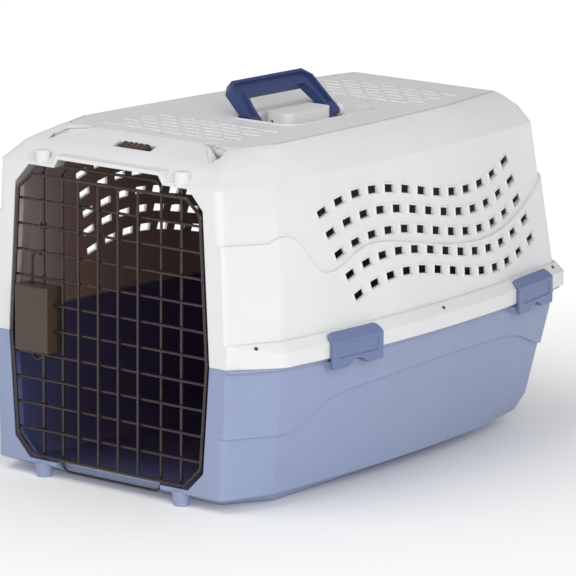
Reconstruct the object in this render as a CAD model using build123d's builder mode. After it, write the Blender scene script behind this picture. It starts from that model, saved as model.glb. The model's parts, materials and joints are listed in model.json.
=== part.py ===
"""Hard pet transport carrier with a wire front door and a top lid.

Millimetres. The wire door faces -Y, +X is the carrier's right-hand side, +Z is up.
The origin is on the resting plane, under the middle of the body.
"""

import math
import os
from collections import namedtuple

from build123d import *

# Body: plan outlines at six heights, each corner as half-width and y
Level = namedtuple("Level", "z front side_front belly side_rear rear")
FRONT_Y = -284
BASE = Level(0, (122, -252), (150, -204), (138, -40), (122, 145), (98, 218))
SOLE = Level(14, (149, FRONT_Y), (168, -226), (169, -76), (151, 140), (128, 231))
HAUNCH = Level(32, (149, FRONT_Y), (169, -227), (171, -74), (153.5, 140), (135.5, 241))
RIM = Level(147, (151, FRONT_Y), (180, -231), (186, -60), (170, 140), (146, 272))
SHOULDER = Level(333, (145, FRONT_Y), (152, -205), (156, -76), (146, 129), (130, 248))
ROOF = Level(355, (116, -220), (131, -176), (128, -60), (117, 124), (99, 232))
WALL = 3
CORNER_R = 9
PANEL_RISE = 3
PANEL_ROOM_Y = (-150, 235)

# Lip where the two shells meet
LIP_OUT = 12
LIP_SKIRT_TOP = 162
LIP_TOP = 171.5
LIP_CREST_OUT = 3
LIP_SOLID_Y = -240
LIP_CORNER = ((155, -300), (155, -284.5), (190.4, -237.5), (230, -237.5), (230, -300))
LEDGE_Z = 144
TONGUE_IN = 4.5
TONGUE_OUT = 8
TONGUE_TOP = 158

# Door opening, half outline in x and z from the bottom middle to the top middle
SILL_Z = 18
OPENING = ((106, SILL_Z), (126, 38), (133.5, 147), (124.5, 302), (106, 322), (72, 322), (66.5, 331))
COLLAR_W = 4
COLLAR_DEPTH = 15

# Wire door
MESH = 26.4
MESH_Z0 = 21.8
WIRE_R = 1.4
FRAME_R = 1.8
ROD_R = 1.8
GRID_Y = -280.5
FACE_Y = GRID_Y - 2.6
ROD_Y = GRID_Y + WIRE_R + ROD_R + 0.1
ROD_X = 92
FRAME = ((101, 21.8), (122, 42), (129.5, 147), (120.5, 297), (103, 312.2))
LOOP_X = 65.5
LOOP_R = 1.5
LOOP_Y = GRID_Y + WIRE_R + LOOP_R + 0.1
LOOP_Z = (9, 323.5)
BOSS_R = 8
BOSS_Z = (322.3, 337.5)
BOSS_ROUND = 3
PEG_R = (8, 10)
RUN = 0.05
SEAM = 0.2

# Squeeze latch on the door
CASE_X = (-119, -75)
CASE_Z = (130.5, 198.5)
CASE_Y = (-292, -272.5)
CASE_WALL = 2
BACK_T = 2.5
GRIP_X = -108
BOLT_TIP = (18.4, 321.7)
WEB_Z = 164.5
SPRING_R = 3.3
SPRING_WIRE_R = 0.45
SPRING_TURNS = 7

# Vents in the side walls
VENT_ROWS = 5
VENT_COLUMNS = 13
VENT_SIZE = (15.5, 8)
VENT_Y0 = -145
VENT_Z0 = 256.5
VENT_STEP = 27.1
VENT_LAG = 9.4
VENT_DROP = 21.8
VENT_SWING = 32
VENT_WAVE = 506
VENT_CREST = -115
VENT_CLIMB = 0.194

# Side latches
LATCH_L = 78
LATCH_LOW = 136
LATCH_TOP = 172
LATCH_T = 3
LATCH_AT = (0.26, 0.42)
LATCH_GAP = 0.6
LATCH_CORNER = 8
ARCH_R = 21
ARCH_DROP = 15
PIVOT_IN = 3
PIVOT_Z = 139
LATCH_PIN_R = 1.5
KNUCKLE_R = 3.5
KNUCKLE_U = 21
KNUCKLE_L = 18
LUG_U = 33
LUG_T = 5

# Lid and its hinge
LID_INSET = 5
LID_GAP = 1.3
LID_Z = (352.3, 355.3)
LID_HINGE_X = -80
LID_HINGE_Z = 347
LID_PIN_R = 2
CATCH_Y = (-198, 210)
LID_FIELD_Y = (-190, 108)
LID_VENT_Y = (-204, 90)
EAR_R = 4.7
HINGE_EAR_Y = (-209, 220)
HINGE_EAR_T = 8
LID_EAR_Y = (-200, 211)
LID_EAR_T = 8
LEDGE_FRONT = (-226, -204)
LEDGE_REAR = (216, 230)

# Carrying handle and the pan it folds into
HANDLE_X = 17
HANDLE_Y = -12.5
HANDLE_Z = 348
HANDLE_LEAN = 46.7
HANDLE_T = 10
HANDLE_PIN_R = 2.5
HANDLE_OUTER = ((69, 0), (66.7, 46), (56.5, 55.4))
HANDLE_INNER = ((47, 37), (52, 20), (54, 0))
GROOVE_OUTER = ((65.5, 8), (63.2, 44.5), (55, 51.8))
GROOVE_INNER = ((49.5, 40.5), (55.5, 21), (57.5, 8))
GROOVE_DEPTH = 3
PAN_Z = 341
PAN_TOP = 356.3
PAN_WALL = 2.5
PAN_X = (-3, 74)
PAN_HALF = 73
BLOCK_X = (10, 40)
BLOCK_HALF = 36
BLOCK_TOP = 359

# Slider catches of the lid
SLOT_Y = -243
SLOT_HALF = 25
PAD_HALF = 17
SLOPE = math.degrees(math.atan2(ROOF.z - SHOULDER.z, ROOF.front[1] - SHOULDER.front[1]))
REAR_SLOPE = math.degrees(math.atan2(ROOF.z - SHOULDER.z, SHOULDER.rear[1] - ROOF.rear[1]))
TONGUE_Z = (341, 344)


def outline(level, grow=0.0):
    """Plan outline of the body at one level, grown outwards by a distance."""
    with BuildSketch(Plane.XY.offset(level.z)) as sketch:
        with BuildLine():
            Line((-level.front[0], level.front[1]), level.front)
            Line((-level.rear[0], level.rear[1]), level.rear)
            for side in (1, -1):
                front = (side * level.front[0], level.front[1])
                side_front = (side * level.side_front[0], level.side_front[1])
                belly = (side * level.belly[0], level.belly[1])
                side_rear = (side * level.side_rear[0], level.side_rear[1])
                rear = (side * level.rear[0], level.rear[1])
                Line(front, side_front)
                ThreePointArc(side_front, belly, side_rear)
                Line(side_rear, rear)
        make_face()
        fillet(sketch.vertices(), radius=CORNER_R)
        if grow:
            offset(amount=grow, kind=Kind.INTERSECTION)
    return sketch.sketch


def raised(level, z):
    """The same outline moved to another height."""
    return level._replace(z=z)


def between(low, high, z):
    """Outline level at a height between two others."""
    t = (z - low.z) / (high.z - low.z)
    pairs = zip(low[1:], high[1:])
    return Level(z, *[tuple(a + t * (b - a) for a, b in zip(p, q)) for p, q in pairs])


def opening_face(y, grow=0.0):
    """Door opening as a face across Y."""
    with BuildSketch(Plane.XZ.offset(-y)) as sketch:
        with BuildLine():
            right = list(OPENING)
            left = [(-x, z) for x, z in reversed(right)]
            Polyline(*right, *left, close=True)
        make_face()
        if grow:
            offset(amount=grow, kind=Kind.INTERSECTION)
    return sketch.sketch


def wave_region(points, z_far):
    """Area between a wavy step line and a level line, as a face across X."""
    with BuildSketch(Plane.YZ) as sketch:
        with BuildLine():
            Line(points[0], points[1])
            Spline(*points[1:-1])
            Line(points[-2], points[-1])
            Polyline(points[-1], (points[-1][0], z_far), (points[0][0], z_far), points[0])
        make_face()
    return sketch.sketch


def step_panel(low, high, points, z_far):
    """Raised skin between two levels, bounded by a wavy step line."""
    with BuildPart() as panel:
        add(outline(low, PANEL_RISE))
        add(outline(high, PANEL_RISE))
        loft(ruled=True)
        extrude(wave_region(points, z_far), amount=250, both=True, mode=Mode.INTERSECT)
        with Locations((0, FRONT_Y - 10, 150)):
            Box(500, 20, 500, mode=Mode.SUBTRACT)
    return panel.part


# ---------------------------------------------------------------- shells

UPPER_STEP = (
    (-300, 271),
    (-226, 266),
    (-181, 255),
    (-157, 229),
    (-130, 230),
    (-92, 244),
    (-41, 243),
    (18, 232),
    (106, 221),
    (172, 227),
    (235, 252),
    (262, 270),
    (300, 270),
)
LOWER_STEP = (
    (-300, 77),
    (-228, 75),
    (-201, 79),
    (-162, 99),
    (-118, 106),
    (0, 112),
    (138, 111),
    (201, 102),
    (232, 90),
    (262, 84),
    (300, 84),
)


def peg_cones():
    """The two pegs under the front sill."""
    with BuildPart() as pegs:
        with Locations((ROD_X, ROD_Y, 0), (-ROD_X, ROD_Y, 0)):
            Cone(*PEG_R, SILL_Z - 3, align=(Align.CENTER, Align.CENTER, Align.MIN))
    return pegs.part


def rod_bores(z_low, z_high):
    """Bores for the door rods on both sides."""
    with BuildPart() as bores:
        with Locations((ROD_X, ROD_Y, z_low), (-ROD_X, ROD_Y, z_low)):
            Cylinder(ROD_R + RUN, z_high - z_low, align=(Align.CENTER, Align.CENTER, Align.MIN))
    return bores.part


def front_collar():
    """Deep rim round the whole door opening."""
    with BuildPart() as collar:
        extrude(opening_face(FRONT_Y, COLLAR_W), amount=-COLLAR_DEPTH)
        extrude(opening_face(FRONT_Y), amount=-COLLAR_DEPTH, mode=Mode.SUBTRACT)
    return collar.part


def latch_places():
    """Middle of each side latch on the lip's outer face, with the outward angle about Z."""
    side = ThreePointArc(RIM.side_front, RIM.belly, RIM.side_rear)
    taper = Line(RIM.side_rear, RIM.rear)
    places = []
    for edge, at, name in ((side, LATCH_AT[0], "front"), (taper, LATCH_AT[1], "rear")):
        run = edge % at
        angle = math.degrees(math.atan2(run.Y, run.X)) - 90
        outward = Vector(math.cos(math.radians(angle)), math.sin(math.radians(angle)), 0)
        middle = edge @ at + outward * (LIP_OUT + LATCH_GAP)
        places.append((name + "_right", Location((middle.X, middle.Y, 0), (0, 0, angle))))
        places.append((name + "_left", Location((-middle.X, middle.Y, 0), (0, 0, 180 - angle))))
    return places


def shell_body(levels):
    """Solid through a stack of (level, growth) outlines."""
    with BuildPart() as body:
        for level, grow in levels:
            add(outline(level, grow))
        loft(ruled=True)
    return body.part


def bar(x, y, z):
    """Block between low and high corners."""
    with BuildPart() as block:
        with Locations(((x[0] + x[1]) / 2, (y[0] + y[1]) / 2, (z[0] + z[1]) / 2)):
            Box(x[1] - x[0], y[1] - y[0], z[1] - z[0])
    return block.part


def lip():
    """Hollow lip of the top shell, closed at its front ends."""
    channel = shell_body(
        (
            (raised(RIM, RIM.z - 1), LIP_OUT - WALL),
            (raised(RIM, LIP_SKIRT_TOP - WALL), LIP_OUT - WALL),
            (raised(RIM, LIP_TOP - WALL), 1),
        )
    )
    with BuildPart() as ring:
        add(
            shell_body(
                (
                    (RIM, LIP_OUT),
                    (raised(RIM, LIP_SKIRT_TOP), LIP_OUT),
                    (raised(RIM, LIP_TOP), LIP_CREST_OUT),
                )
            )
        )
        add(channel - bar((-300, 300), (-400, LIP_SOLID_Y), (0, 400)), mode=Mode.SUBTRACT)
        add(bar((-300, 300), (-400, FRONT_Y), (0, 400)), mode=Mode.SUBTRACT)
        with BuildSketch(Plane.XY.offset(RIM.z)) as corner:
            with BuildLine():
                Polyline(*LIP_CORNER, close=True)
            make_face()
            mirror(about=Plane.YZ)
        extrude(amount=40, mode=Mode.SUBTRACT)
    return ring.part


def vent_holes():
    """Oblong vents in five wavy rows, as a cutter through both side walls."""
    with BuildSketch(Plane.YZ) as grid:
        for row in range(VENT_ROWS):
            for column in range(VENT_COLUMNS):
                y = VENT_Y0 + VENT_LAG * row + VENT_STEP * column
                phase = 2 * math.pi * (y - VENT_LAG * row - VENT_CREST) / VENT_WAVE
                z = VENT_Z0 - VENT_DROP * row + VENT_SWING * math.cos(phase)
                z += VENT_CLIMB * (y - VENT_LAG * row - VENT_Y0)
                lean = VENT_CLIMB - VENT_SWING * 2 * math.pi / VENT_WAVE * math.sin(phase)
                with Locations(Location((y, z, 0), (0, 0, math.degrees(math.atan(lean))))):
                    Rectangle(*VENT_SIZE)
    with BuildPart() as cutter:
        extrude(grid.sketch, amount=250, both=True)
    return cutter.part


def panel_hollow(low, high, points, shift, z_far):
    """Room behind a raised skin, so that the wall keeps its thickness."""
    inner_points = [(y, z + shift) for y, z in points]
    with BuildPart() as room:
        add(outline(low))
        add(outline(high))
        loft(ruled=True)
        extrude(wave_region(inner_points, z_far), amount=250, both=True, mode=Mode.INTERSECT)
        add(bar((-300, 300), PANEL_ROOM_Y, (0, 400)), mode=Mode.INTERSECT)
    return room.part


def rod_boss():
    """Round-topped boss that holds the upper end of a door rod."""
    with BuildPart() as boss:
        Cylinder(BOSS_R, BOSS_Z[1] - BOSS_Z[0], align=(Align.CENTER, Align.CENTER, Align.MIN))
        fillet(boss.edges().sort_by(Axis.Z)[-1], radius=BOSS_ROUND)
    return boss.part


def roof_notches():
    """Open pockets at the roof's two front corners."""
    right = ((70, -217), (74, -213), (90, -218), (106, -224.5), (110, -240), (107, -254))
    with BuildPart() as cutter:
        with BuildSketch(Plane.XY.offset(SHOULDER.z)) as corner:
            with BuildLine():
                Polyline(*right, close=True)
            make_face()
            mirror(about=Plane.YZ)
        extrude(amount=40)
    return cutter.part


def top_shell():
    """Top shell: walls, roof ring, lip, collar, rod bosses, vents and lid seats."""
    outer = shell_body(
        (
            (RIM, 0),
            (between(RIM, SHOULDER, 324), 0),
            (between(SHOULDER, ROOF, 341), 0),
            (between(SHOULDER, ROOF, 352), 0),
            (ROOF, -2),
        )
    )
    cavity = shell_body(
        (
            (raised(RIM, RIM.z - 5), -WALL),
            (between(RIM, SHOULDER, 322), -WALL),
            (raised(between(SHOULDER, ROOF, 341), 338.5), -WALL / 2),
            (raised(ROOF, ROOF.z - WALL), -WALL),
        )
    )
    recess = outline(raised(ROOF, ROOF.z - 10), -LID_INSET)
    with BuildPart() as shell:
        add(outer)
        add(step_panel(RIM, SHOULDER, UPPER_STEP, RIM.z))
        add(lip())
        add(cavity, mode=Mode.SUBTRACT)
        add(panel_hollow(RIM, SHOULDER, UPPER_STEP, -WALL, RIM.z - 1), mode=Mode.SUBTRACT)
        extrude(recess, amount=20, mode=Mode.SUBTRACT)
        add(front_collar())
        for x in (-ROD_X, ROD_X):
            add(rod_boss().moved(Location((x, ROD_Y, BOSS_Z[0]))))
        add(bar((LID_HINGE_X + 14, 84), LEDGE_FRONT, (349, 352)))
        add(bar((LID_HINGE_X + 14, 80), LEDGE_REAR, (349, 352)))
        for y in HINGE_EAR_Y:
            with Locations(Location((LID_HINGE_X, y, LID_HINGE_Z), (90, 0, 0))):
                Cylinder(EAR_R, HINGE_EAR_T)
            add(
                bar(
                    (LID_HINGE_X, LID_HINGE_X + 20),
                    (y - HINGE_EAR_T / 2, y + HINGE_EAR_T / 2),
                    (LID_HINGE_Z - 3, 350),
                )
            )
        with Locations(*[(LID_HINGE_X, y, LID_HINGE_Z) for y in HINGE_EAR_Y]):
            Cylinder(LID_PIN_R, 20, rotation=(90, 0, 0), mode=Mode.SUBTRACT)
        extrude(opening_face(FRONT_Y - 20), amount=-60, mode=Mode.SUBTRACT)
        add(rod_bores(RIM.z, 360), mode=Mode.SUBTRACT)
        add(bar((-300, 300), (-400, 400), (0, RIM.z + SEAM)), mode=Mode.SUBTRACT)
        add(vent_holes(), mode=Mode.SUBTRACT)
        add(roof_notches(), mode=Mode.SUBTRACT)
        add(slider_slots(), mode=Mode.SUBTRACT)
    return shell.part


def bottom_shell():
    """Bottom shell: tub, rim tongue, front sill, pegs and latch lugs."""
    tub = shell_body(((BASE, 0), (SOLE, 0), (HAUNCH, 0), (RIM, 0)))
    hollow = shell_body(
        (
            (raised(BASE, WALL), -WALL),
            (raised(SOLE, SOLE.z + WALL), -WALL),
            (raised(HAUNCH, HAUNCH.z + WALL), -WALL),
            (RIM, -WALL),
            (raised(RIM, TONGUE_TOP + 3), -WALL),
        )
    )
    tongue = shell_body(((raised(RIM, LEDGE_Z), TONGUE_OUT), (raised(RIM, TONGUE_TOP), TONGUE_OUT)))
    groove = shell_body(((RIM, TONGUE_IN), (raised(RIM, TONGUE_TOP + 1), TONGUE_IN)))
    with BuildPart() as shell:
        add(tongue)
        add(groove, mode=Mode.SUBTRACT)
        add(bar((-300, 300), (-400, LIP_SOLID_Y + 2), (RIM.z, 400)), mode=Mode.SUBTRACT)
        add(tub)
        add(step_panel(HAUNCH, RIM, LOWER_STEP, RIM.z))
        for _, place in latch_places():
            add(latch_lugs().moved(place))
        add(hollow, mode=Mode.SUBTRACT)
        add(bar((-300, 300), (-400, FRONT_Y), (0, 400)), mode=Mode.SUBTRACT)
        add(front_collar() & bar((-300, 300), (-400, 0), (0, RIM.z)))
        add(peg_cones())
        extrude(opening_face(FRONT_Y - 20), amount=-60, mode=Mode.SUBTRACT)
        add(rod_bores(3, SILL_Z + 2), mode=Mode.SUBTRACT)
        add(
            bar((-LOOP_X - 4, LOOP_X + 4), (FRONT_Y - 10, LOOP_Y + 4), (5, SILL_Z + 1)),
            mode=Mode.SUBTRACT,
        )
    return shell.part


# ---------------------------------------------------------------- side latches


def latch_lugs():
    """Pair of hinge lugs for one side latch, in the latch's own frame."""
    with BuildPart() as lugs:
        for u in (-LUG_U, LUG_U):
            add(
                bar(
                    (-LIP_OUT - 2, -PIVOT_IN),
                    (u - LUG_T / 2, u + LUG_T / 2),
                    (PIVOT_Z - KNUCKLE_R, PIVOT_Z + KNUCKLE_R),
                )
            )
            with Locations((-PIVOT_IN, u, PIVOT_Z)):
                Cylinder(KNUCKLE_R, LUG_T, rotation=(90, 0, 0))
        with Locations((-PIVOT_IN, 0, PIVOT_Z)):
            Cylinder(LATCH_PIN_R, LATCH_L, rotation=(90, 0, 0), mode=Mode.SUBTRACT)
    return lugs.part


def side_latch():
    """One over-lip latch: plate, top hook, hinge knuckles and finger arch."""
    with BuildPart() as latch:
        with BuildSketch(Plane.XZ.offset(-LATCH_L / 2)) as profile:
            with BuildLine():
                Polyline(
                    (1, LATCH_LOW),
                    (1 + LATCH_T, LATCH_LOW),
                    (1 + LATCH_T, LIP_SKIRT_TOP + 1.5),
                    (-4.2, LATCH_TOP),
                    (-6, LATCH_TOP - 2.2),
                    (1, LIP_SKIRT_TOP + 1),
                    close=True,
                )
            make_face()
        extrude(amount=LATCH_L)
        with BuildSketch(Plane.YZ) as front_view:
            with Locations((0, LATCH_LOW)):
                RectangleRounded(LATCH_L, 2 * (LATCH_TOP - LATCH_LOW), LATCH_CORNER)
        extrude(amount=20, both=True, mode=Mode.INTERSECT)
        for side in (-1, 1):
            with Locations((-PIVOT_IN, side * KNUCKLE_U, PIVOT_Z)):
                Cylinder(KNUCKLE_R, KNUCKLE_L, rotation=(90, 0, 0))
            width = sorted((side * (KNUCKLE_U - KNUCKLE_L / 2), side * (KNUCKLE_U + KNUCKLE_L / 2)))
            add(bar((-PIVOT_IN, 2), width, (PIVOT_Z - 3, PIVOT_Z + 3)))
        with Locations((-PIVOT_IN, 0, PIVOT_Z)):
            Cylinder(LATCH_PIN_R + RUN, LATCH_L, rotation=(90, 0, 0), mode=Mode.SUBTRACT)
        with Locations((1 + LATCH_T, 0, LATCH_LOW - ARCH_DROP)):
            Cylinder(ARCH_R, 30, rotation=(0, 90, 0), mode=Mode.SUBTRACT)
        with BuildSketch(Plane.YZ.offset(LATCH_T + 0.2)) as pane:
            with Locations((0, 153)):
                RectangleRounded(LATCH_L - 14, 14, 4)
        extrude(amount=5, mode=Mode.SUBTRACT)
    return latch.part


def latch_pin():
    """Hinge pin of one side latch, in the latch's own frame."""
    with BuildPart() as pin:
        with Locations((-PIVOT_IN, 0, PIVOT_Z)):
            Cylinder(LATCH_PIN_R, 2 * LUG_U + LUG_T, rotation=(90, 0, 0))
    return pin.part


# ---------------------------------------------------------------- wire door


def rod_between(start, end, radius):
    """Round wire from one point to another."""
    run = Vector(*end) - Vector(*start)
    with BuildPart() as wire:
        with BuildSketch(Plane(origin=start, z_dir=run)) as round_section:
            Circle(radius)
        extrude(amount=run.length)
    return wire.part


def frame_half_width(z):
    """Half-width of the door's frame wire at a height."""
    for (x0, z0), (x1, z1) in zip(FRAME, FRAME[1:]):
        if z0 <= z <= z1:
            return x0 + (x1 - x0) * (z - z0) / (z1 - z0)
    return FRAME[-1][0]


def closed_wire(points, y, radius, corner):
    """Bent wire loop through points in x and z."""
    with BuildLine(Plane.XZ.offset(-y)) as path:
        FilletPolyline(*points, radius=corner, close=True)
    with BuildPart() as wire:
        with BuildSketch(Plane(origin=path.line @ 0, z_dir=path.line % 0)) as round_section:
            Circle(radius)
        sweep(path=path.line)
    return wire.part


def door_grille():
    """Welded frame wire, uprights and cross wires of the front door."""
    right = list(FRAME)
    left = [(-x, z) for x, z in reversed(right)]
    with BuildPart() as grille:
        add(closed_wire(right + left, FACE_Y, FRAME_R, 7))
        for k in (-1.5, -0.5, 0.5, 1.5):
            add(rod_between((k * MESH, FACE_Y, MESH_Z0), (k * MESH, FACE_Y, FRAME[-1][1]), WIRE_R))
        for k in range(1, 11):
            z = MESH_Z0 + k * MESH
            end = frame_half_width(z)
            if CASE_Z[0] < z < CASE_Z[1]:
                spans = ((-end, CASE_X[0] + 1.5), (CASE_X[1] - 1.5, end))
            else:
                spans = ((-end, end),)
            for low, high in spans:
                add(rod_between((low, GRID_Y, z), (high, GRID_Y, z), WIRE_R))
    return grille.part


def door_loop():
    """Long stiffening loop behind the cross wires."""
    low, high = LOOP_Z
    corners = ((LOOP_X, low), (LOOP_X, high), (-LOOP_X, high), (-LOOP_X, low))
    return closed_wire(corners, LOOP_Y, LOOP_R, 9)


def hinge_rod():
    """Door hinge rod, seated in the right peg and boss."""
    return rod_between((ROD_X, ROD_Y, 4), (ROD_X, ROD_Y, 332), ROD_R)


def rod_guide(z):
    """Strap that holds a bolt against the cross wires."""
    with BuildPart() as strap:
        with Locations((-ROD_X, ROD_Y, z)):
            Cylinder(ROD_R + 1.5, 7)
            Cylinder(ROD_R + RUN, 7, mode=Mode.SUBTRACT)
        slot = (-ROD_X - ROD_R - RUN, -ROD_X + ROD_R + RUN)
        add(bar(slot, (-290, ROD_Y), (0, 400)), mode=Mode.SUBTRACT)
        add(bar((-110, -80), (-290, GRID_Y + WIRE_R + 0.02), (0, 400)), mode=Mode.SUBTRACT)
    return strap.part


def latch_case():
    """Front cover of the squeeze latch, open at the back, with a web between the springs."""
    (x0, x1), (z0, z1), (y0, y1) = CASE_X, CASE_Z, CASE_Y
    with BuildPart() as case:
        add(bar(CASE_X, CASE_Y, CASE_Z))
        fillet(case.faces().sort_by(Axis.Y)[0].edges(), radius=2.5)
        add(
            bar(
                (x0 + CASE_WALL, x1 - CASE_WALL),
                (y0 + CASE_WALL, y1 + 1),
                (z0 + CASE_WALL, z1 - CASE_WALL),
            ),
            mode=Mode.SUBTRACT,
        )
        add(bar((x0 + 1, x1 - 1), (y0 + 1.5, y1), (WEB_Z - 1, WEB_Z + 1)))
        with Locations((-ROD_X, ROD_Y, z1), (GRIP_X, ROD_Y, z1), (-ROD_X, ROD_Y, z0)):
            Cylinder(ROD_R + RUN, 8, mode=Mode.SUBTRACT)
        with Locations((GRIP_X, ROD_Y, z0)):
            Cylinder(ROD_R + RUN, 8, mode=Mode.SUBTRACT)
        for k in (5, 6):
            with Locations(((x0 + x1) / 2, GRID_Y, MESH_Z0 + k * MESH)):
                Cylinder(WIRE_R + RUN, 60, rotation=(0, 90, 0), mode=Mode.SUBTRACT)
    return case.part


def latch_case_back():
    """Back plate of the squeeze latch."""
    return bar(CASE_X, (CASE_Y[1], CASE_Y[1] + BACK_T), CASE_Z)


def latch_bolt(up):
    """Sliding bolt with its collar and the bent finger loop: up is 1 or -1."""
    if up == 1:
        tip, nose, collar, leg, bend = BOLT_TIP[1], 176, (186, 188), 190, 223
    else:
        tip, nose, collar, leg, bend = BOLT_TIP[0], 153, (141, 143), 139, 129
    reach = (-ROD_X - GRIP_X) / 2
    low, high = sorted((nose, tip))
    with BuildPart() as bolt:
        add(rod_between((-ROD_X, ROD_Y, low), (-ROD_X, ROD_Y, high), ROD_R))
        with Locations((-ROD_X, ROD_Y, sum(collar) / 2)):
            Cylinder(SPRING_R + 0.5, collar[1] - collar[0])
        with BuildLine() as finger:
            Line((GRIP_X, ROD_Y, leg), (GRIP_X, ROD_Y, bend))
            ThreePointArc(
                (GRIP_X, ROD_Y, bend),
                ((GRIP_X - ROD_X) / 2, ROD_Y, bend + up * reach),
                (-ROD_X, ROD_Y, bend),
            )
        with BuildSketch(Plane(origin=(GRIP_X, ROD_Y, leg), z_dir=(0, 0, up))) as round_section:
            Circle(ROD_R - 0.1)
        sweep(sections=round_section.sketch, path=finger.line)
    return bolt.part


def latch_spring(z_low, z_high):
    """Compression spring round a bolt's nose."""
    height = z_high - z_low - 2 * SPRING_WIRE_R - 0.2
    with BuildPart() as spring:
        with BuildLine() as coil:
            Helix(
                pitch=height / SPRING_TURNS,
                height=height,
                radius=SPRING_R,
                center=(-ROD_X, ROD_Y, z_low + SPRING_WIRE_R + 0.1),
            )
        with BuildSketch(Plane(origin=coil.line @ 0, z_dir=coil.line % 0)) as round_section:
            Circle(SPRING_WIRE_R)
        sweep(path=coil.line, is_frenet=True)
    return spring.part


# ---------------------------------------------------------------- lid and handle


def pan_outline(x, half, corner_left, corner_right, z):
    """D-like plan shape of the pan or of its block."""
    with BuildSketch(Plane.XY.offset(z)) as sketch:
        with Locations(((x[0] + x[1]) / 2, HANDLE_Y)):
            Rectangle(x[1] - x[0], 2 * half)
        corners = sketch.vertices().sort_by(Axis.X)
        fillet(corners[:2], radius=corner_left)
        corners = sketch.vertices().sort_by(Axis.X)
        fillet(corners[-2:], radius=corner_right)
    return sketch.sketch


def relief_bars(y_low, rows):
    """Field of staggered low bars on the lid."""
    with BuildPart() as field:
        with BuildSketch(Plane.XY.offset(LID_Z[1])) as bricks:
            for row in range(rows):
                for column in range(6):
                    x = (column - 2.5) * 27 + (6 if row % 2 else -6)
                    with Locations((x, y_low + 14 * row)):
                        RectangleRounded(21, 8, 1.5)
        extrude(amount=0.9)
    return field.part


def lid_vents():
    """Small through slots in the lid, as a cutter."""
    with BuildPart() as cutter:
        with BuildSketch(Plane.XY.offset(LID_Z[0] - 5)) as slots:
            for y in LID_VENT_Y:
                for x in (-30, 0, 30):
                    with Locations((x, y)):
                        SlotOverall(14, 5)
            with Locations((96, 196), (-96, 196)):
                SlotOverall(12, 4)
        extrude(amount=20)
    return cutter.part


def top_lid():
    """Top lid with hinge ears, catch lugs and the pan for the handle."""
    low, high = LID_Z
    with BuildPart() as lid:
        add(outline(raised(ROOF, low), -LID_INSET - LID_GAP))
        extrude(amount=high - low)
        add(relief_bars(LID_FIELD_Y[0], 6))
        add(relief_bars(LID_FIELD_Y[1], 6))
        add(lid_vents(), mode=Mode.SUBTRACT)
        pan_x = (PAN_X[0] - PAN_WALL, PAN_X[1] + PAN_WALL)
        floor_z = PAN_Z - PAN_WALL
        extrude(pan_outline(pan_x, PAN_HALF + PAN_WALL, 6, 22, floor_z), amount=PAN_TOP - floor_z)
        extrude(pan_outline(PAN_X, PAN_HALF, 4, 20, PAN_Z), amount=30, mode=Mode.SUBTRACT)
        extrude(pan_outline(BLOCK_X, BLOCK_HALF, 3, 10, PAN_Z - 1), amount=BLOCK_TOP - PAN_Z + 1)
        foot = HANDLE_OUTER[0][0] + 1
        for side in (-1, 1):
            middle = HANDLE_Y + side * (PAN_HALF + foot + 1) / 2
            with Locations((HANDLE_X, middle, HANDLE_Z)):
                Cylinder(6, PAN_HALF - foot + 1, rotation=(90, 0, 0))
        with Locations((HANDLE_X, HANDLE_Y, HANDLE_Z)):
            Cylinder(HANDLE_PIN_R, 2 * PAN_HALF + 10, rotation=(90, 0, 0), mode=Mode.SUBTRACT)
        for y in LID_EAR_Y:
            with Locations((LID_HINGE_X, y, LID_HINGE_Z)):
                Cylinder(EAR_R, LID_EAR_T, rotation=(90, 0, 0))
            add(
                bar(
                    (LID_HINGE_X - EAR_R, LID_HINGE_X + EAR_R),
                    (y - LID_EAR_T / 2, y + LID_EAR_T / 2),
                    (LID_HINGE_Z, low + 1),
                )
            )
        with Locations(*[(LID_HINGE_X, y, LID_HINGE_Z) for y in LID_EAR_Y]):
            Cylinder(LID_PIN_R + RUN, 20, rotation=(90, 0, 0), mode=Mode.SUBTRACT)
        for y in CATCH_Y:
            add(bar((18, 21), (y - 4, y + 4), (TONGUE_Z[0] - 4, low + 1)))
            add(bar((10, 21), (y - 4, y + 4), (TONGUE_Z[0] - 4, TONGUE_Z[0] - 1)))
    return lid.part


def lid_pin(y_low, y_high):
    """Hinge pin of the lid."""
    return rod_between((LID_HINGE_X, y_low, LID_HINGE_Z), (LID_HINGE_X, y_high, LID_HINGE_Z), LID_PIN_R)


def arch_outline(outer, inner):
    """Closed outline of an arch from the right-hand halves of its outer and inner edges."""
    with BuildLine() as edge:
        outer_left = [(-x, z) for x, z in reversed(outer)]
        inner_left = [(-x, z) for x, z in reversed(inner)]
        Polyline(*outer, *outer_left, *inner_left, *inner, close=True)
    return edge.line


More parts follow.
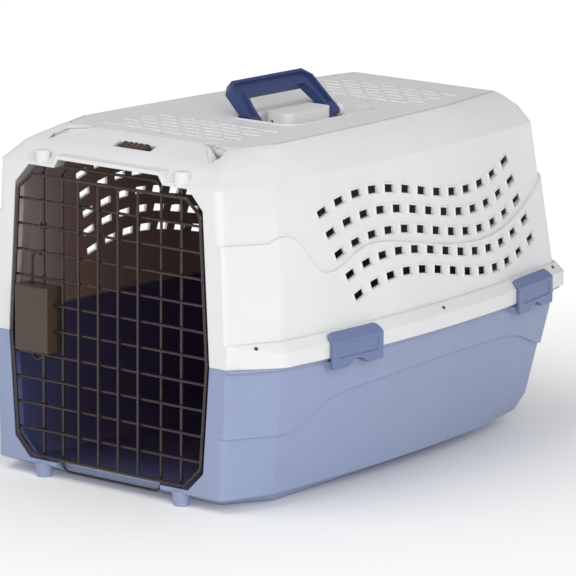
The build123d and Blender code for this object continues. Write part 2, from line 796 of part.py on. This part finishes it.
def carry_handle():
    """Folding handle with chamfered corners and grooved faces, leaning to -X at rest."""
    lean = math.radians(HANDLE_LEAN)
    plane = Plane(
        origin=(HANDLE_X, HANDLE_Y, HANDLE_Z),
        x_dir=(0, 1, 0),
        z_dir=(math.cos(lean), 0, math.sin(lean)),
    )
    foot, foot_inside = HANDLE_OUTER[0][0], HANDLE_INNER[-1][0]
    with BuildPart() as handle:
        with BuildSketch(plane) as arch:
            add(arch_outline(HANDLE_OUTER, HANDLE_INNER))
            make_face()
        extrude(amount=HANDLE_T / 2, both=True)
        for side in (-1, 1):
            with Locations((HANDLE_X, HANDLE_Y + side * (foot + foot_inside) / 2, HANDLE_Z)):
                Cylinder(HANDLE_T / 2, foot - foot_inside, rotation=(90, 0, 0))
        for side in (-1, 1):
            with BuildSketch(plane.offset(side * HANDLE_T / 2)) as groove:
                add(arch_outline(GROOVE_OUTER, GROOVE_INNER))
                make_face()
            extrude(amount=-side * GROOVE_DEPTH, mode=Mode.SUBTRACT)
        with Locations((HANDLE_X, HANDLE_Y, HANDLE_Z)):
            Cylinder(HANDLE_PIN_R + RUN, 200, rotation=(90, 0, 0), mode=Mode.SUBTRACT)
    return handle.part


def handle_pin(side):
    """Pivot pin at one foot of the handle."""
    start = (HANDLE_X, HANDLE_Y + side * (HANDLE_INNER[-1][0] - 1.5), HANDLE_Z)
    end = (HANDLE_X, HANDLE_Y + side * (PAN_HALF + PAN_WALL), HANDLE_Z)
    return rod_between(start, end, HANDLE_PIN_R)


# ---------------------------------------------------------------- lid sliders

FRONT_SLOPE_PLANE = Plane(
    origin=(0, SLOT_Y, SHOULDER.z + (SLOT_Y - FRONT_Y) * math.tan(math.radians(SLOPE))),
    x_dir=(1, 0, 0),
    z_dir=(0, -math.sin(math.radians(SLOPE)), math.cos(math.radians(SLOPE))),
)
REAR_SLOPE_PLANE = Plane(
    origin=(0, 240, 344),
    x_dir=(1, 0, 0),
    z_dir=(0, math.sin(math.radians(REAR_SLOPE)), math.cos(math.radians(REAR_SLOPE))),
)


def slope_box(plane, x, y, depth):
    """Block laid in a slope's own frame: x and y ranges, then heights above the surface."""
    with BuildPart() as block:
        with BuildSketch(plane.offset(depth[0])) as base:
            with Locations(((x[0] + x[1]) / 2, (y[0] + y[1]) / 2)):
                Rectangle(x[1] - x[0], y[1] - y[0])
        extrude(amount=depth[1] - depth[0])
    return block.part


def slider_slots():
    """Slots in the two roof slopes that the sliders' thumb pads stand in."""
    front = slope_box(FRONT_SLOPE_PLANE, (-SLOT_HALF, SLOT_HALF), (-5.5, 5.5), (-8, 8))
    rear = slope_box(REAR_SLOPE_PLANE, (-SLOT_HALF, SLOT_HALF), (-4, 4), (-8, 8))
    return front + rear


def slider(plane, half_y, depth, tongue_y):
    """Sliding catch: thumb pad in the slot, base under the wall, tongue towards the lid."""
    with BuildPart() as catch:
        add(slope_box(plane, (-PAD_HALF, PAD_HALF), (-half_y, half_y), (-depth - 1, 1.2)))
        for x in range(-14, 16, 7):
            add(slope_box(plane, (x - 1, x + 1), (-half_y, half_y), (1, 2)))
        add(slope_box(plane, (-24, 24), (-half_y - 1.5, half_y + 1.5), (-depth - 2, -depth)))
        add(bar((-8, 8), tongue_y, TONGUE_Z))
    return catch.part


def slider_keeper(plane, half_y, depth, upward):
    """Strap under the roof that carries a slider, notched on its upper side for the tongue."""
    y = (-half_y - 1.5, half_y + 1.5)
    with BuildPart() as keeper:
        add(slope_box(plane, (-38, 38), y, (-depth - 4, -depth - 2.1)))
        for side in (-1, 1):
            x = sorted((side * 33, side * 38))
            add(slope_box(plane, x, y, (-depth - 4, -depth + 0.1)))
        notch = sorted((0, upward * (half_y + 3)))
        add(slope_box(plane, (-17.5, 17.5), notch, (-depth - 6, -depth)), mode=Mode.SUBTRACT)
    return keeper.part


# ---------------------------------------------------------------- export


def export_all():
    """Build every piece and write it to parts/."""
    pieces = {
        "top_shell": top_shell(),
        "bottom_shell": bottom_shell(),
        "door_grille": door_grille(),
        "door_loop": door_loop(),
        "door_hinge_rod": hinge_rod(),
        "rod_guide_upper": rod_guide(MESH_Z0 + 9 * MESH),
        "rod_guide_lower": rod_guide(MESH_Z0 + 2 * MESH),
        "latch_case": latch_case(),
        "latch_case_back": latch_case_back(),
        "upper_bolt": latch_bolt(1),
        "lower_bolt": latch_bolt(-1),
        "upper_bolt_spring": latch_spring(WEB_Z + 1, 186),
        "lower_bolt_spring": latch_spring(143, WEB_Z - 1),
        "top_lid": top_lid(),
        "lid_pin_front": lid_pin(HINGE_EAR_Y[0] - HINGE_EAR_T / 2, LID_EAR_Y[0] + LID_EAR_T / 2),
        "lid_pin_rear": lid_pin(LID_EAR_Y[1] - LID_EAR_T / 2, HINGE_EAR_Y[1] + HINGE_EAR_T / 2),
        "carry_handle": carry_handle(),
        "handle_pin_front": handle_pin(-1),
        "handle_pin_rear": handle_pin(1),
        "lid_slider_front": slider(FRONT_SLOPE_PLANE, 4.5, 3.5, (-240.4, -195)),
        "lid_slider_rear": slider(REAR_SLOPE_PLANE, 3, 5.2, (207, 234)),
        "slider_keeper_front": slider_keeper(FRONT_SLOPE_PLANE, 4.5, 3.5, 1),
        "slider_keeper_rear": slider_keeper(REAR_SLOPE_PLANE, 3, 5.2, -1),
    }
    for name, place in latch_places():
        pieces["side_latch_" + name] = side_latch().moved(place)
        pieces["latch_pin_" + name] = latch_pin().moved(place)
    os.makedirs("parts", exist_ok=True)
    for name, piece in pieces.items():
        piece.label = name
        export_step(piece, "parts/" + name + ".step")


export_all()
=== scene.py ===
"""Looks of a hard plastic pet transport carrier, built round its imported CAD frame.

Metres, in the frame of the CAD: the wire door faces -Y, +X is the carrier's right-hand side, +Z is up.
"""

import json
import math

import bmesh
import bpy
from mathutils import Matrix, Vector
from mathutils.bvhtree import BVHTree


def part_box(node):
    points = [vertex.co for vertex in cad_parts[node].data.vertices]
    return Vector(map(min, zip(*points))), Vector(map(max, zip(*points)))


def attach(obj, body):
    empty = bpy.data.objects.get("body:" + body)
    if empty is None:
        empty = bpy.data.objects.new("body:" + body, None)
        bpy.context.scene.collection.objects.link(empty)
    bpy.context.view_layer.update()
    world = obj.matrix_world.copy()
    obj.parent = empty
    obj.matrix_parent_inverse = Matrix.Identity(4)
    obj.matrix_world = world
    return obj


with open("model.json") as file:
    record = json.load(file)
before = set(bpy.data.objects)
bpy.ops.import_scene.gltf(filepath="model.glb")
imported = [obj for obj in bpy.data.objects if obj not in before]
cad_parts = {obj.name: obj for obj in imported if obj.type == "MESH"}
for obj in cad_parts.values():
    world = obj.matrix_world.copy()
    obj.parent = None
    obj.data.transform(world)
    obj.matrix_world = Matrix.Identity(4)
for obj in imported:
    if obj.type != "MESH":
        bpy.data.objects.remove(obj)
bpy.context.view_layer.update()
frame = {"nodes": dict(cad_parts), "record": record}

MM = 0.001
NODES = frame["nodes"]
FLOOR_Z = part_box("bottom_shell")[0].z

# View: the camera looks at a point inside the body, from the front right (degrees, metres, mm of lens)
VIEW_AZIMUTH = 39.32
VIEW_ELEVATION = 11.757
VIEW_ROLL = 0.392
VIEW_DISTANCE = 4.9385
VIEW_TARGET = Vector((0.0001, 0.0002, 0.1644))
VIEW_LENS = 295.35
SENSOR = 36

# Side vents in millimetres, as in the CAD: five wavy rows on each side
VENT_ROWS = 5
VENT_COLUMNS = 13
VENT_HALF = (7.75, 4.0)
VENT_Y0 = -145
VENT_Z0 = 256.5
VENT_STEP = 27.1
VENT_LAG = 9.4
VENT_DROP = 21.8
VENT_SWING = 32
VENT_WAVE = 506
VENT_CREST = -115
VENT_CLIMB = 0.194

# Moulded rim round a vent: (distance from the hole's edge, rise over the wall) in millimetres
RIM_PROFILE = ((-0.05, -1.2), (0.0, 0.5), (0.6, 1.1), (1.9, 1.1), (2.5, -0.15))
RIM_TURNS = (0, 30, 60, 90)
RIM_MERGE = 0.005 * MM

# Screws on the lip, as x and y on the right-hand side, and the size of their heads, in millimetres
LIP_SCREWS = ((172.4, -259), (190, 20), (155, 256))
SCREW_RADII = (2.4, 1.9)
SCREW_HEIGHT = 1.2
SCREW_SIDES = 24

# Where rays start that look for the shell's skin, in metres from the middle and from the floor
BESIDE = 0.4
ABOVE = 0.3

# Pocket at the right front corner of the roof in millimetres: its ramp starts at the inner edge
POCKET_EDGE = ((70, -217), (107, -254))
POCKET_WALL = ((74, -213), (90, -218), (106, -224.5), (110, -240), (107, -254))
POCKET_DEPTH = 11
WALL_DROP = 3
LINER_DROP = 0.3
LINER_T = 0.8
RAMP_STEPS = 8
RAMP_PARTS = 6
RAMP_LEAST = 0.35

# Front roof slope in millimetres: its lowest y and z, its rise, and where it meets the roof
SLOPE_Y = -284
SLOPE_Z = 333
SLOPE_RISE = 0.344
SLOPE_TOP = 354.6

# Surface finish
SMOOTH_ANGLE = math.radians(22)
EDGE_ROUND = 1.1 * MM
EDGE_COSINE = (0.999, 0.86)
WELD = 0.01 * MM

# Cabin in metres: half sizes, which surfaces face inwards, the front wall and the depth of the doorway;
# they place painted shade on the shells' inner faces
CABIN_HALF = (0.17, 0.28, 0.18)
FACING_IN = (-0.46, -0.52)
FRONT_WALL = (-0.2835, -0.2825)
DOORWAY = (-0.27, -0.12)

# Light of the surroundings on the object, and the floor that fades into the white backdrop
AMBIENT = 0.43
FLOOR_HALF = 12.0
FLOOR_GAP = 0.2 * MM
FLOOR_FADE = (0.1, 0.95)


# ---------------------------------------------------------------- node materials


class Graph:
    """Wires the nodes of one material."""

    def __init__(self, name):
        self.material = bpy.data.materials.new(name)
        self.material.use_nodes = True
        self.tree = self.material.node_tree
        self.tree.nodes.clear()
        self.output = self.tree.nodes.new("ShaderNodeOutputMaterial")

    def add(self, kind, inputs=None, **settings):
        """New node, its settings, and its inputs as values or as (node, socket) links."""
        node = self.tree.nodes.new("ShaderNode" + kind)
        for key, value in settings.items():
            setattr(node, key, value)
        for key, value in (inputs or {}).items():
            if isinstance(value, bpy.types.NodeSocket):
                self.tree.links.new(value, node.inputs[key])
            else:
                node.inputs[key].default_value = value
        return node

    def math(self, operation, a, b=0.0, clamp=False):
        """One arithmetic step."""
        return self.add("Math", {0: a, 1: b}, operation=operation, use_clamp=clamp).outputs[0]

    def ramp(self, value, low, high, to_low=0.0, to_high=1.0):
        """Smooth step of a value from low..high to to_low..to_high."""
        inputs = {"Value": value, 1: low, 2: high, 3: to_low, 4: to_high}
        node = self.add("MapRange", inputs, interpolation_type="SMOOTHSTEP")
        return node.outputs["Result"]

    def mix(self, share, a, b, blend="MIX"):
        """Mix of two colours."""
        node = self.tree.nodes.new("ShaderNodeMix")
        node.data_type = "RGBA"
        node.blend_type = blend
        for socket, value in ((node.inputs[0], share), (node.inputs[6], a), (node.inputs[7], b)):
            if isinstance(value, bpy.types.NodeSocket):
                self.tree.links.new(value, socket)
            else:
                socket.default_value = value
        return node.outputs[2]

    def noise(self, scale, detail=2.0, roughness=0.5, vector=None):
        """Noise in object space, in cycles a metre."""
        if vector is None:
            vector = self.add("TexCoord").outputs["Object"]
        inputs = {"Vector": vector, "Scale": scale, "Detail": detail, "Roughness": roughness}
        return self.add("TexNoise", inputs).outputs["Fac"]

    def edge(self, radius):
        """(rounded normal, mask that is 1 on edges)."""
        rounded = self.add("Bevel", {"Radius": radius}, samples=6).outputs["Normal"]
        flat = self.add("NewGeometry").outputs["Normal"]
        inputs = {0: rounded, 1: flat}
        cosine = self.add("VectorMath", inputs, operation="DOT_PRODUCT").outputs["Value"]
        return rounded, self.ramp(cosine, *EDGE_COSINE)

    def finish(self, color, roughness, normal, **extra):
        """Principled surface as the material's output."""
        inputs = {"Base Color": color, "Roughness": roughness, "Normal": normal}
        inputs.update({key.replace("_", " "): value for key, value in extra.items()})
        shader = self.add("BsdfPrincipled", inputs)
        self.tree.links.new(shader.outputs[0], self.output.inputs[0])
        return self.material


def rgb(red, green, blue):
    """Linear colour from screen values of 0 to 255."""
    def linear(v):
        v /= 255
        return v / 12.92 if v <= 0.04045 else ((v + 0.055) / 1.055) ** 2.4

    return (linear(red), linear(green), linear(blue), 1.0)


def inside_shade_mask(g):
    """(mask of painted shade that is 1 on surfaces facing the middle of the cabin, y of the surface).
    """
    place = g.add("TexCoord").outputs["Object"]
    middle = (0.0, 0.0, CABIN_HALF[2])
    centred = g.add("VectorMath", {0: place, 1: middle}, operation="SUBTRACT").outputs[0]
    scale = tuple(1 / half**2 for half in CABIN_HALF)
    outward = g.add("VectorMath", {0: centred, 1: scale}, operation="MULTIPLY").outputs[0]
    outward = g.add("VectorMath", {0: outward}, operation="NORMALIZE").outputs[0]
    normal = g.add("NewGeometry").outputs["True Normal"]
    facing = g.add("VectorMath", {0: outward, 1: normal}, operation="DOT_PRODUCT").outputs["Value"]
    inward = g.ramp(facing, *FACING_IN)
    depth = g.add("SeparateXYZ", {0: place}).outputs["Y"]
    return g.math("MULTIPLY", inward, g.ramp(depth, *FRONT_WALL)), depth


def scaled(color, factor, lift=0.0):
    """Lighter or darker version of a linear colour."""
    return tuple(min(1.0, c * factor + lift) for c in color[:3]) + (1,)


def moulded_plastic(name, color, roughness, grain=0.10, inside_shade=None, edge_paling=0.35):
    """Moulded plastic: fine grain, cloudy tone, scuffs, paler edges and painted shade on the cabin's
    inner faces.
    """
    g = Graph(name)
    rounded, edge = g.edge(EDGE_ROUND)
    cloud = g.noise(9, 4, 0.6)
    speckle = g.noise(1400, 2, 0.6)
    tone = g.mix(g.ramp(cloud, 0.3, 0.7), scaled(color, 0.955), color)
    tone = g.mix(g.ramp(speckle, 0.35, 0.65, 0.0, 0.10), tone, scaled(color, 0.8))
    # paler colour along edges, broken up by noise
    pale_edge = g.math("MULTIPLY", edge, g.ramp(g.noise(60, 5, 0.7), 0.42, 0.62, 0.15, 1.0))
    tone = g.mix(g.math("MULTIPLY", pale_edge, edge_paling), tone, scaled(color, 1.25, 0.05))
    if inside_shade:
        # painted shade: inner faces turn darker, lighter near the door and darker farther in
        mask, depth = inside_shade_mask(g)
        near, deep_shade = inside_shade
        tone = g.mix(mask, tone, g.mix(g.ramp(depth, *DOORWAY), near, deep_shade))
    shine = g.ramp(g.noise(35, 5, 0.65), 0.3, 0.75, roughness - 0.05, roughness + 0.08)
    scuff = g.ramp(g.noise(220, 3, 0.7), 0.60, 0.72, 0.0, 0.10)
    shine = g.math("ADD", shine, scuff, clamp=True)
    height = g.math("ADD", g.noise(2600, 1, 0.5), g.math("MULTIPLY", g.noise(90, 3), 0.6))
    bump = g.add("Bump", {"Strength": grain, "Distance": 0.0004, "Height": height, "Normal": rounded})
    return g.finish(tone, shine, bump.outputs[0], Specular_IOR_Level=0.45)


def coated_wire(name, color):
    """Dark coated steel wire with a warm sheen and lighter patches."""
    g = Graph(name)
    pale_patch = g.noise(160, 4, 0.65)
    # lighter patches of the coating's colour, spread by noise
    tone = g.mix(g.ramp(pale_patch, 0.35, 0.75), color, scaled(color, 1.9))
    normal = g.add("Bump", {"Strength": 0.12, "Distance": 0.0003, "Height": g.noise(900, 3)})
    shine = g.ramp(g.noise(300, 3), 0.3, 0.7, 0.16, 0.30)
    return g.finish(
        tone, shine, normal.outputs[0], Metallic=0.2, Coat_Weight=0.4, Coat_Roughness=0.12
    )


def drawn_steel(name):
    """Bright drawn steel with fine lengthwise lines."""
    g = Graph(name)
    place = g.add("TexCoord").outputs["Object"]
    stretched = g.add("VectorMath", {0: place, 1: (1.0, 1.0, 0.05)}, operation="MULTIPLY").outputs[0]
    line = g.noise(3000, 2, 0.6, stretched)
    tone = g.mix(line, rgb(150, 152, 158), rgb(205, 206, 210))
    normal = g.add("Bump", {"Strength": 0.15, "Distance": 0.0002, "Height": line}).outputs[0]
    return g.finish(tone, g.ramp(line, 0.3, 0.7, 0.22, 0.38), normal, Metallic=1.0)


MATERIALS = {
    # The shells' second colour pairs are painted shade on their inner faces, the first by the door and
    # the second farther in
    "shell_light": moulded_plastic(
        "shell_light", rgb(226, 226, 227), 0.42, inside_shade=(rgb(186, 172, 172), rgb(146, 118, 108))
    ),
    "shell_blue": moulded_plastic(
        "shell_blue", rgb(145, 157, 188), 0.42, inside_shade=(rgb(92, 100, 146), rgb(68, 60, 92))
    ),
    "latch_blue": moulded_plastic("latch_blue", rgb(107, 122, 162), 0.36),
    "handle_navy": moulded_plastic("handle_navy", rgb(46, 61, 112), 0.26, grain=0.06),
    "dark_plastic": moulded_plastic("dark_plastic", rgb(74, 58, 50), 0.32, edge_paling=0.2),
    "door_wire": coated_wire("door_wire", rgb(38, 29, 27)),
    "steel": drawn_steel("steel"),
}


# ---------------------------------------------------------------- CAD nodes


def dress_nodes():
    """Give every CAD node its slot's material and smooth shading by angle."""
    for part in frame["record"]["subparts"]:
        node = NODES[part["node"]]
        node.data.materials.clear()
        node.data.materials.append(MATERIALS[part["material_slot"]])
        node.data.polygons.foreach_set("use_smooth", [True] * len(node.data.polygons))
        weld = node.modifiers.new("weld", "WELD")
        weld.merge_threshold = WELD
        split = node.modifiers.new("split", "EDGE_SPLIT")
        split.split_angle = SMOOTH_ANGLE
        split.use_edge_sharp = False


# ---------------------------------------------------------------- small pieces


def skin_of(node):
    """Ray target made of a CAD node's faces."""
    mesh = NODES[node].data
    points = [vertex.co.copy() for vertex in mesh.vertices]
    return BVHTree.FromPolygons(points, [tuple(face.vertices) for face in mesh.polygons])


def new_piece(name, bm, body, slot, smooth=True):
    """Mesh object from bmesh geometry, with its material, riding on a CAD body."""
    mesh = bpy.data.meshes.new(name)
    bm.to_mesh(mesh)
    bm.free()
    mesh.polygons.foreach_set("use_smooth", [smooth] * len(mesh.polygons))
    mesh.materials.append(MATERIALS[slot])
    piece = bpy.data.objects.new(name, mesh)
    bpy.context.scene.collection.objects.link(piece)
    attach(piece, body)
    return piece


def bridge(bm, strips, closed):
    """Faces between each strip of vertices and the next one; closed strips are rings."""
    for near, far in zip(strips, strips[1:]):
        count = len(near)
        for k in range(count if closed else count - 1):
            n = (k + 1) % count
            bm.faces.new((near[k], near[n], far[n], far[k]))


def vent_places():
    """(y, z, lean) of every side vent, in millimetres and radians."""
    for row in range(VENT_ROWS):
        for column in range(VENT_COLUMNS):
            run = VENT_STEP * column
            phase = 2 * math.pi * (VENT_Y0 + run - VENT_CREST) / VENT_WAVE
            z = VENT_Z0 - VENT_DROP * row + VENT_SWING * math.cos(phase) + VENT_CLIMB * run
            lean = VENT_CLIMB - VENT_SWING * 2 * math.pi / VENT_WAVE * math.sin(phase)
            yield VENT_Y0 + VENT_LAG * row + run, z, math.atan(lean)


def ring_path(grow):
    """Points round one vent at a distance from its edge, rounded at the corners where it is outside."""
    half_y, half_z = (half + min(grow, 0) for half in VENT_HALF)
    reach = max(grow, 0)
    points = []
    for quarter, (sign_y, sign_z) in enumerate(((1, 1), (-1, 1), (-1, -1), (1, -1))):
        for turn in RIM_TURNS:
            angle = math.radians(quarter * 90 + turn)
            y = sign_y * half_y + reach * math.cos(angle)
            z = sign_z * half_z + reach * math.sin(angle)
            points.append((y, z))
    return points


def turned(y, z, y0, z0, lean):
    """Point of a vent's own plane in metres, after its lean."""
    cosine, sine = math.cos(lean), math.sin(lean)
    return ((y0 + y * cosine - z * sine) * MM, (z0 + y * sine + z * cosine) * MM)


def vent_rims(side, name):
    """Low moulded rims round the vents of one side wall."""
    skin = skin_of("top_shell")
    bm = bmesh.new()
    foot = ring_path(RIM_PROFILE[-1][0])
    for place in vent_places():
        wall_x = []
        for y, z in foot:
            start = Vector((side * BESIDE, *turned(y, z, *place)))
            wall_x.append(skin.ray_cast(start, Vector((-side, 0, 0)))[0].x)
        loops = []
        for grow, rise in RIM_PROFILE:
            loop = []
            for (y, z), x in zip(ring_path(grow), wall_x):
                loop.append(bm.verts.new((x + side * rise * MM, *turned(y, z, *place))))
            loops.append(loop)
        bridge(bm, loops, closed=True)
    bmesh.ops.remove_doubles(bm, verts=bm.verts, dist=RIM_MERGE)
    bmesh.ops.recalc_face_normals(bm, faces=bm.faces)
    new_piece(name, bm, "shells", "shell_light")


def lip_screws():
    """Six small screw heads sunk in the sloping top of the lip; their dark colour is partly painted
    shade of the holes they sit in.
    """
    skin = skin_of("top_shell")
    low, high = SCREW_RADII
    head = {"radius1": low * MM, "radius2": high * MM, "depth": SCREW_HEIGHT * MM}
    for side, hand in ((1, "right"), (-1, "left")):
        for number, (x, y) in enumerate(LIP_SCREWS, 1):
            start = Vector((side * x * MM, y * MM, ABOVE))
            place, normal = skin.ray_cast(start, Vector((0, 0, -1)))[:2]
            bm = bmesh.new()
            bmesh.ops.create_cone(bm, cap_ends=True, segments=SCREW_SIDES, **head)
            tilt = normal.to_track_quat("Z", "Y").to_matrix().to_4x4()
            bm.transform(Matrix.Translation(place) @ tilt)
            # dark plastic heads: part of their darkness is painted shade in the lip's holes
            new_piece(f"lip_screw_{number}_{hand}", bm, "shells", "dark_plastic", smooth=False)


def slope_height(y):
    """Height of the front roof slope at a y, in millimetres."""
    return min(SLOPE_Z + (y - SLOPE_Y) * SLOPE_RISE, SLOPE_TOP)


def pocket_liner(side, name):
    """Scooped ramp and inner wall of one roof corner pocket."""
    bm = bmesh.new()

    def corner(x, y, z):
        return bm.verts.new((side * x * MM, y * MM, z * MM))

    (x0, y0), (x1, y1) = POCKET_EDGE
    ramp = []
    for step in range(RAMP_STEPS + 1):
        bend = math.radians(90 * step / RAMP_STEPS)
        shift, drop = POCKET_DEPTH * math.sin(bend), POCKET_DEPTH * (1 - math.cos(bend))
        row = []
        for part in range(RAMP_PARTS + 1):
            share = part / RAMP_PARTS
            x, y = x0 + (x1 - x0) * share, y0 + (y1 - y0) * share
            swell = math.sin(math.pi * (share + 0.1) / 1.2)
            reach = shift * (RAMP_LEAST + (1 - RAMP_LEAST) * swell) / math.sqrt(2)
            row.append(corner(x + reach, y + reach, slope_height(y) - LINER_DROP - drop))
        ramp.append(row)
    wall = []
    for drop in (WALL_DROP, POCKET_DEPTH + WALL_DROP):
        wall.append([corner(x, y, slope_height(y) - drop) for x, y in POCKET_WALL])
    bridge(bm, ramp, closed=False)
    bridge(bm, wall, closed=False)
    piece = new_piece(name, bm, "shells", "shell_light")
    piece.modifiers.new("thickness", "SOLIDIFY").thickness = LINER_T * MM


# ---------------------------------------------------------------- stage


def build_stage():
    """Pale floor, soft studio light and white surroundings."""
    mesh = bpy.data.meshes.new("floor")
    bm = bmesh.new()
    bmesh.ops.create_grid(bm, x_segments=2, y_segments=2, size=FLOOR_HALF)
    bm.to_mesh(mesh)
    bm.free()
    floor = bpy.data.objects.new("floor", mesh)
    floor.location.z = FLOOR_Z - FLOOR_GAP
    bpy.context.scene.collection.objects.link(floor)
    g = Graph("floor")
    tone = g.mix(g.noise(3, 3), rgb(246, 246, 247), rgb(252, 252, 252))
    normal = g.add("Bump", {"Strength": 0.02, "Height": g.noise(400, 2)}).outputs[0]
    place = g.add("TexCoord").outputs["Object"]
    reach = g.add("VectorMath", {0: place}, operation="LENGTH").outputs["Value"]
    fade = g.ramp(reach, *FLOOR_FADE)
    glow = {"Emission_Color": (1, 1, 1, 1), "Emission_Strength": fade}
    tone = g.mix(fade, tone, (0, 0, 0, 1))
    mesh.materials.append(g.finish(tone, 0.7, normal, Specular_IOR_Level=0.1, **glow))
    world = bpy.data.worlds.new("studio")
    world.use_nodes = True
    tree = world.node_tree
    seen = tree.nodes.new("ShaderNodeLightPath").outputs["Is Camera Ray"]
    strength = tree.nodes.new("ShaderNodeMapRange")
    strength.inputs["To Min"].default_value = AMBIENT
    strength.inputs["To Max"].default_value = 1.0
    tree.links.new(seen, strength.inputs["Value"])
    tree.nodes["Background"].inputs[0].default_value = (1, 1, 1, 1)
    tree.links.new(strength.outputs[0], tree.nodes["Background"].inputs[1])
    bpy.context.scene.world = world


def direction(azimuth, elevation):
    """Unit vector away from the body; azimuth 0 is in front of the door, 90 on the right."""
    a, e = math.radians(azimuth), math.radians(elevation)
    return Vector((math.sin(a) * math.cos(e), -math.cos(a) * math.cos(e), math.sin(e)))


def area_light(name, azimuth, elevation, distance, size, power):
    """Square softbox aimed at the body."""
    data = bpy.data.lights.new(name, "AREA")
    data.size = size
    data.energy = power
    lamp = bpy.data.objects.new(name, data)
    back = direction(azimuth, elevation)
    lamp.location = VIEW_TARGET + back * distance
    lamp.rotation_euler = back.to_track_quat("Z", "Y").to_euler()
    bpy.context.scene.collection.objects.link(lamp)


def build_camera():
    """Long lens from the front right, slightly above."""
    data = bpy.data.cameras.new("camera")
    data.lens = VIEW_LENS
    data.sensor_width = SENSOR
    camera = bpy.data.objects.new("camera", data)
    back = direction(VIEW_AZIMUTH, VIEW_ELEVATION)
    aim = back.to_track_quat("Z", "Y").to_matrix().to_4x4()
    roll = Matrix.Rotation(math.radians(VIEW_ROLL), 4, "Z")
    camera.matrix_world = Matrix.Translation(VIEW_TARGET + back * VIEW_DISTANCE) @ aim @ roll
    bpy.context.scene.collection.objects.link(camera)
    bpy.context.scene.camera = camera
    bpy.context.scene.view_settings.view_transform = "Standard"


dress_nodes()
vent_rims(1, "vent_rims_right")
vent_rims(-1, "vent_rims_left")
lip_screws()
pocket_liner(1, "roof_pocket_right")
pocket_liner(-1, "roof_pocket_left")
build_stage()
area_light("key", azimuth=56, elevation=19, distance=3.0, size=1.8, power=44)
area_light("fill", azimuth=-22, elevation=56, distance=3.5, size=2.5, power=44)
build_camera()
